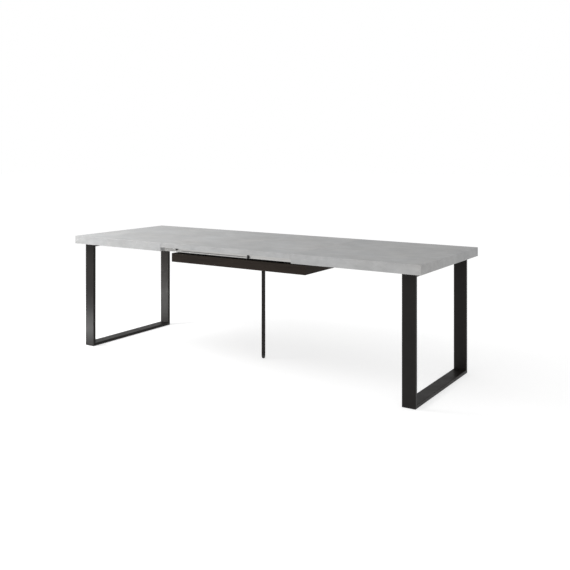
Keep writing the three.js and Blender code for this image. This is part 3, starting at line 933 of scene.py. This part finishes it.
def concrete_laminate(piece, shift):
    """Clouds and streaks choose a grey, then hairlines, pores and edge wear are laid over it."""
    tree, surface, place, at = new_finish(f"concrete laminate of {piece.name}", [piece], shift)
    broad = placed(tree, clouds, {"Vector": at, "Scale": 4.6, "Stretch": 0.8, "Contrast": 3.2})["Value"]
    small = placed(tree, clouds, {"Vector": at, "Scale": 16.0, "Stretch": 0.7, "Contrast": 3.4})["Value"]
    streak = placed(tree, clouds, {"Vector": at, "Scale": 30.0, "Stretch": 0.22, "Contrast": 3.4})["Value"]
    tone = between(tree, SMALL_CLOUD_SHARE, broad, small)
    tone = between(tree, STREAK_SHARE, tone, streak)
    fine = placed(tree, grain, {"Vector": at, "Scale": 420.0, "Along": 0.6})
    tone = between(tree, GRIT_SHARE, tone, fine["Value"])
    colour = colour_mix(tree, tone, CONCRETE_DARK, CONCRETE_LIGHT)
    tint = placed(tree, clouds, {"Vector": at, "Scale": 2.3, "Stretch": 1.0, "Contrast": 3.5})["Value"]
    tint_colour = colour_mix(tree, tint, CONCRETE_COOL, CONCRETE_WARM)
    colour = colour_mix(tree, TINT_SHARE, colour, tint_colour)
    wave = add(tree, "TexNoise", {"Vector": at, "Scale": 6.5, "Detail": 3.0, "Distortion": 1.4}).outputs[0]
    off_line = reckon(tree, "ABSOLUTE", reckon(tree, "SUBTRACT", wave, 0.5))
    fading = {"Value": off_line, "From Max": HAIRLINE_WIDTH, "To Min": HAIRLINE_STRENGTH, "To Max": 0.0}
    hairline = add(tree, "MapRange", fading).outputs[0]
    colour = colour_mix(tree, hairline, colour, CONCRETE_HAIRLINE)
    pore = placed(tree, pores, {"Vector": at, "Scale": 95.0, "Size": 0.14, "Share": 0.16})["Mask"]
    colour = colour_mix(tree, reckon(tree, "MULTIPLY", pore, PORE_STRENGTH), colour, CONCRETE_PORE)
    worn = wear_mask(tree, place, piece, EDGE_WIDTH)
    colour = colour_mix(tree, reckon(tree, "MULTIPLY", worn, EDGE_STRENGTH), colour, CONCRETE_EDGE)
    tree.links.new(colour, surface.inputs["Base Color"])
    rubbed = reckon(tree, "MULTIPLY", worn, RUBBED_SMOOTHER)
    roughness = reckon(tree, "SUBTRACT", between(tree, small, 0.46, 0.6), rubbed)
    tree.links.new(roughness, surface.inputs["Roughness"])
    surface.inputs["Specular IOR Level"].default_value = 0.45
    relief = reckon(tree, "SUBTRACT", fine["Height"], reckon(tree, "MULTIPLY", pore, 1.5))
    roughen(tree, surface, relief, 0.06 * MILLIMETRE)


BOARD_SHIFTS = {"left": (0.0, 0.0, 0.0), "right": (3.1, -1.7, 0.4)}
LEAF_SHIFTS = {"left": (7.4, 2.3, 1.1), "right": (-5.2, 4.9, 2.6)}
for hand in SIDE_OF:
    concrete_laminate(tops[hand], BOARD_SHIFTS[hand])
    concrete_laminate(leaves[hand], LEAF_SHIFTS[hand])
print("laminated boards:", len(tops) + len(leaves))

# %% [markdown]
# ## Powder coat
# The frames and steel fittings are powder coated in a brown-black satin. Powder melts into a skin with
# the fine dimples of an orange peel. Sharp edges hold a thinner coat that shines a little more, and
# handling leaves faint dull patches.

# %% Powder coat
COAT_DARK = (0.0065, 0.0056, 0.005)
COAT_LIGHT = (0.0145, 0.0125, 0.0112)
COAT_EDGE = (0.05, 0.047, 0.045)


def powder_coat(piece):
    """Orange peel as relief, dull patches in the roughness, and a thin paler line along the outer
    edges."""
    tree, surface, place, at = new_finish(f"powder coat of {piece.name}", [piece])
    patch = placed(tree, clouds, {"Vector": at, "Scale": 9.0, "Stretch": 1.0, "Contrast": 2.2})["Value"]
    peel = placed(tree, grain, {"Vector": at, "Scale": 650.0, "Along": 1.0})
    tone = between(tree, 0.45, patch, peel["Value"])
    colour = colour_mix(tree, tone, COAT_DARK, COAT_LIGHT)
    worn = wear_mask(tree, place, piece, 0.9 * MILLIMETRE)
    colour = colour_mix(tree, reckon(tree, "MULTIPLY", worn, 0.6), colour, COAT_EDGE)
    tree.links.new(colour, surface.inputs["Base Color"])
    tree.links.new(between(tree, patch, 0.36, 0.5), surface.inputs["Roughness"])
    surface.inputs["Specular IOR Level"].default_value = 0.15
    roughen(tree, surface, peel["Height"], 0.05 * MILLIMETRE)


coated = [*frames.values(), *hangers, support_leg, bracket]
for piece in coated:
    powder_coat(piece)
print("powder coated pieces:", len(coated))

# %% [markdown]
# ## Black laminate
# The box panels and the battens have a plain brown-black laminate with a short linear grain pressed in,
# which scatters light differently along and across. Cut edges carry a slightly paler band.

# %% Black laminate
BLACK_DARK = (0.016, 0.012, 0.0095)
BLACK_LIGHT = (0.036, 0.027, 0.021)
BLACK_EDGE = (0.06, 0.05, 0.043)


def black_laminate(piece):
    """Short pressed lines along X, soft clouds and long streaks under them, and a paler line along the
    edges."""
    tree, surface, place, at = new_finish(f"black laminate of {piece.name}", [piece])
    lines = placed(tree, grain, {"Vector": at, "Scale": 420.0, "Along": 0.07})
    patch = placed(tree, clouds, {"Vector": at, "Scale": 9.0, "Stretch": 0.3, "Contrast": 3.0})["Value"]
    streaks = {"Vector": at, "Scale": 110.0, "Stretch": 0.06, "Contrast": 3.0}
    streak = placed(tree, clouds, streaks)["Value"]
    tone = between(tree, 0.55, patch, streak)
    colour = colour_mix(tree, tone, BLACK_DARK, BLACK_LIGHT)
    worn = wear_mask(tree, place, piece, 1.0 * MILLIMETRE)
    colour = colour_mix(tree, reckon(tree, "MULTIPLY", worn, 0.5), colour, BLACK_EDGE)
    tree.links.new(colour, surface.inputs["Base Color"])
    tree.links.new(between(tree, lines["Value"], 0.5, 0.7), surface.inputs["Roughness"])
    surface.inputs["Specular IOR Level"].default_value = 0.1
    roughen(tree, surface, lines["Height"], 0.07 * MILLIMETRE)


panelled = [*box_panels, *battens]
for piece in panelled:
    black_laminate(piece)
print("black laminated pieces:", len(panelled))

# %% [markdown]
# ## Metals
# The rails are extruded and anodised: fine lines run along them where the die dragged, and the gloss
# changes in long bands. Bolts, screws and pins are zinc plated, with the cloudy bloom of plating. A bare
# metal has no colour of its own besides its reflection, so the pattern goes into brightness and
# roughness.

# %% Anodised rails
ALUMINIUM_DARK = (0.4, 0.395, 0.385)
ALUMINIUM_LIGHT = (0.58, 0.575, 0.565)


def anodised(piece):
    """Long die lines along X in brightness, roughness and relief."""
    tree, surface, place, at = new_finish(f"anodised aluminium of {piece.name}", [piece])
    lines = placed(tree, grain, {"Vector": at, "Scale": 900.0, "Along": 0.006})
    bands = placed(tree, clouds, {"Vector": at, "Scale": 60.0, "Stretch": 0.02, "Contrast": 2.0})["Value"]
    tone = between(tree, 0.5, lines["Value"], bands)
    worn = wear_mask(tree, place, piece, 0.7 * MILLIMETRE)
    tone = reckon(tree, "ADD", tone, reckon(tree, "MULTIPLY", worn, 0.4), clamp=True)
    tree.links.new(colour_mix(tree, tone, ALUMINIUM_DARK, ALUMINIUM_LIGHT), surface.inputs["Base Color"])
    tree.links.new(between(tree, bands, 0.3, 0.44), surface.inputs["Roughness"])
    surface.inputs["Metallic"].default_value = 1.0
    roughen(tree, surface, lines["Height"], 0.02 * MILLIMETRE)


for piece in rails:
    anodised(piece)
print("anodised pieces:", len(rails))

# %% Zinc plate
ZINC_DARK = (0.42, 0.43, 0.44)
ZINC_LIGHT = (0.68, 0.69, 0.7)
ZINC_BLOOM = (0.6, 0.57, 0.5)


def zinc_plated(pieces):
    """Cloudy plating with a faint warm bloom and fine machining grain, shared by all small steel
    parts."""
    tree, surface, _, at = new_finish("zinc plate", pieces)
    bloom = placed(tree, clouds, {"Vector": at, "Scale": 190.0, "Stretch": 1.0, "Contrast": 2.4})["Value"]
    fine = placed(tree, grain, {"Vector": at, "Scale": 2400.0, "Along": 1.0})
    colour = colour_mix(tree, between(tree, 0.4, bloom, fine["Value"]), ZINC_DARK, ZINC_LIGHT)
    colour = colour_mix(tree, reckon(tree, "MULTIPLY", bloom, 0.2), colour, ZINC_BLOOM)
    tree.links.new(colour, surface.inputs["Base Color"])
    tree.links.new(between(tree, bloom, 0.24, 0.42), surface.inputs["Roughness"])
    surface.inputs["Metallic"].default_value = 1.0
    roughen(tree, surface, fine["Height"], 0.015 * MILLIMETRE)


plated = [*frame_bolts, *leaf_pins, hinge_pin, hanger_screws, bracket_screws]
zinc_plated(plated)
print("zinc plated pieces:", len(plated))

# %% [markdown]
# ## Plastic and felt
# Caps, knobs, the foot and the magnet's housing are moulded in black plastic with the fine spark texture
# of the mould, rubbed smoother where hands and floors touch it. The glides are dark felt: matt, fuzzy and
# mottled, with a soft sheen at the rim.

# %% Moulded plastic
PLASTIC_DARK = (0.009, 0.009, 0.0092)
PLASTIC_LIGHT = (0.022, 0.022, 0.0225)


def moulded_plastic(pieces):
    """Spark texture as grain in tone and relief, with smoother rubbed patches."""
    tree, surface, _, at = new_finish("moulded plastic", pieces)
    spark = placed(tree, grain, {"Vector": at, "Scale": 1500.0, "Along": 1.0})
    rubbed = placed(tree, clouds, {"Vector": at, "Scale": 80.0, "Stretch": 1.0, "Contrast": 2.2})["Value"]
    colour = colour_mix(tree, between(tree, 0.5, rubbed, spark["Value"]), PLASTIC_DARK, PLASTIC_LIGHT)
    tree.links.new(colour, surface.inputs["Base Color"])
    tree.links.new(between(tree, rubbed, 0.38, 0.58), surface.inputs["Roughness"])
    surface.inputs["Specular IOR Level"].default_value = 0.35
    roughen(tree, surface, spark["Height"], 0.04 * MILLIMETRE)


# The black strips in the rail grooves take this plastic as painted shade for the shadow in the grooves.
moulded = [*caps, *painted_shade_strips, *knobs, foot, magnet]
moulded_plastic(moulded)
print("moulded pieces:", len(moulded))

# %% Felt
FELT_DARK = (0.02, 0.019, 0.018)
FELT_LIGHT = (0.07, 0.067, 0.064)


def felt(pieces):
    """Two sizes of fuzz in tone and relief under a light sheen."""
    tree, surface, _, at = new_finish("glide felt", pieces)
    fuzz = placed(tree, grain, {"Vector": at, "Scale": 1900.0, "Along": 1.0})
    tufts = placed(tree, clouds, {"Vector": at, "Scale": 320.0, "Stretch": 1.0, "Contrast": 2.6})["Value"]
    tone = between(tree, 0.5, fuzz["Value"], tufts)
    tree.links.new(colour_mix(tree, tone, FELT_DARK, FELT_LIGHT), surface.inputs["Base Color"])
    tree.links.new(between(tree, tufts, 0.86, 0.98), surface.inputs["Roughness"])
    surface.inputs["Sheen Weight"].default_value = 0.4
    roughen(tree, surface, fuzz["Height"], 0.25 * MILLIMETRE)


felt(felt_glides)
print("felt pieces:", len(felt_glides))

# %% [markdown]
# ## Floor, light and camera
# Furniture is shown on a white floor that runs into a white background, with only a breath of shadow at
# the feet. Here the camera sees a white world and a floor that glows a little by itself, so its shadows
# stay faint. One large soft lamp at the left front makes that end of the top brighter, and two small
# lamps close to the floor put a sheen on the lower posts of the left frame.

# %% Floor
FLOOR_REACH = 40.0
FLOOR_DARK = (0.48, 0.48, 0.48)
FLOOR_LIGHT = (0.52, 0.52, 0.52)
FLOOR_GLOW = 0.54
FLOOR_LIFT = 0.62

corners = np.array([[-1, -1, 0], [1, -1, 0], [1, 1, 0], [-1, 1, 0]]) * FLOOR_REACH
floor_mesh = bpy.data.meshes.new("floor")
floor_mesh.from_pydata(corners.tolist(), [], [[0, 1, 2, 3]])
floor = bpy.data.objects.new("floor", floor_mesh)
bpy.context.scene.collection.objects.link(floor)
tree, surface, _, at = new_finish("pale floor", [floor])
patch = placed(tree, clouds, {"Vector": at, "Scale": 1.5, "Stretch": 1.0, "Contrast": 1.0})["Value"]
tree.links.new(colour_mix(tree, patch, FLOOR_DARK, FLOOR_LIGHT), surface.inputs["Base Color"])
surface.inputs["Roughness"].default_value = 0.9
surface.inputs["Specular IOR Level"].default_value = 0.0
surface.inputs["Emission Color"].default_value = (1, 1, 1, 1)
seen = tree.nodes.new("ShaderNodeLightPath").outputs["Is Camera Ray"]
tree.links.new(between(tree, seen, FLOOR_GLOW, FLOOR_LIFT), surface.inputs["Emission Strength"])
from_below = tree.nodes.new("ShaderNodeNewGeometry").outputs["Backfacing"]
clear = tree.nodes.new("ShaderNodeBsdfTransparent").outputs[0]
one_sided = add(tree, "MixShader", {0: from_below, 1: surface.outputs[0], 2: clear}).outputs[0]
tree.links.new(one_sided, tree.nodes["Material Output"].inputs["Surface"])
print("floor reaches", FLOOR_REACH, "m each way")

# %% White surroundings
WORLD_LIGHT = 0.79
FROM_LEFT = -0.2
FROM_FRONT = -0.42

world = bpy.data.worlds.new("white surroundings")
world.use_nodes = True
sky = world.node_tree
direction = sky.nodes.new("ShaderNodeTexCoord").outputs["Generated"]
brighter_side = (FROM_LEFT, FROM_FRONT, 0.0)
lean = add(sky, "VectorMath", {0: direction, 1: brighter_side}, operation="DOT_PRODUCT").outputs["Value"]
shine = reckon(sky, "MULTIPLY_ADD", lean, WORLD_LIGHT, WORLD_LIGHT)
seen = sky.nodes.new("ShaderNodeLightPath").outputs["Is Camera Ray"]
strength = add(sky, "Mix", {"Factor": seen, "A": shine, "B": 1.0}).outputs["Result"]
sky.links.new(strength, sky.nodes["Background"].inputs["Strength"])
sky.nodes["Background"].inputs["Color"].default_value = (1, 1, 1, 1)
bpy.context.scene.world = world
bpy.context.scene.view_settings.view_transform = "Standard"
print("surroundings shine at", WORLD_LIGHT)

# %% Soft lamps
from mathutils import Vector


def soft_lamp(name, place, target, width, height, power):
    """A rectangular lamp that points from its place to a target."""
    lamp = bpy.data.lights.new(name, "AREA")
    lamp.shape = "RECTANGLE"
    lamp.size = width
    lamp.size_y = height
    lamp.energy = power
    holder = bpy.data.objects.new(name, lamp)
    holder.location = place
    holder.rotation_mode = "QUATERNION"
    holder.rotation_quaternion = (Vector(target) - Vector(place)).to_track_quat("-Z", "Y")
    holder.visible_camera = False
    bpy.context.scene.collection.objects.link(holder)
    return holder


large_lamp = {"width": 1.2, "height": 1.0}
soft_lamp("key lamp", place=(-2.5, -1.3, 2.2), target=(-0.9, -0.1, 0.7), power=67.0, **large_lamp)
low_lamp = {"width": 0.3, "height": 0.02}
soft_lamp("near low lamp", place=(-1.62, -0.78, 0.013), target=(-1.2, -0.4, 0.06), power=2.0, **low_lamp)
soft_lamp("far low lamp", place=(-1.95, -0.36, 0.013), target=(-1.2, 0.4, 0.15), power=5.0, **low_lamp)

# %% Camera
CAMERA_PLACE = (2.840, -4.132, 1.358)
CAMERA_TURN = 0.5737
CAMERA_LENS = 47.82
CAMERA_RISE = -0.2316

camera_data = bpy.data.cameras.new("camera")
camera_data.sensor_width = 36.0
camera_data.lens = CAMERA_LENS
camera_data.shift_y = CAMERA_RISE
camera = bpy.data.objects.new("camera", camera_data)
camera.location = CAMERA_PLACE
camera.rotation_euler = (np.pi / 2, 0.0, CAMERA_TURN)
bpy.context.scene.collection.objects.link(camera)
bpy.context.scene.camera = camera
print("camera stands", CAMERA_PLACE[2], "m above the floor")

# %% [markdown]
# The visible table must be as large as the imported one.

bpy.context.view_layer.update()
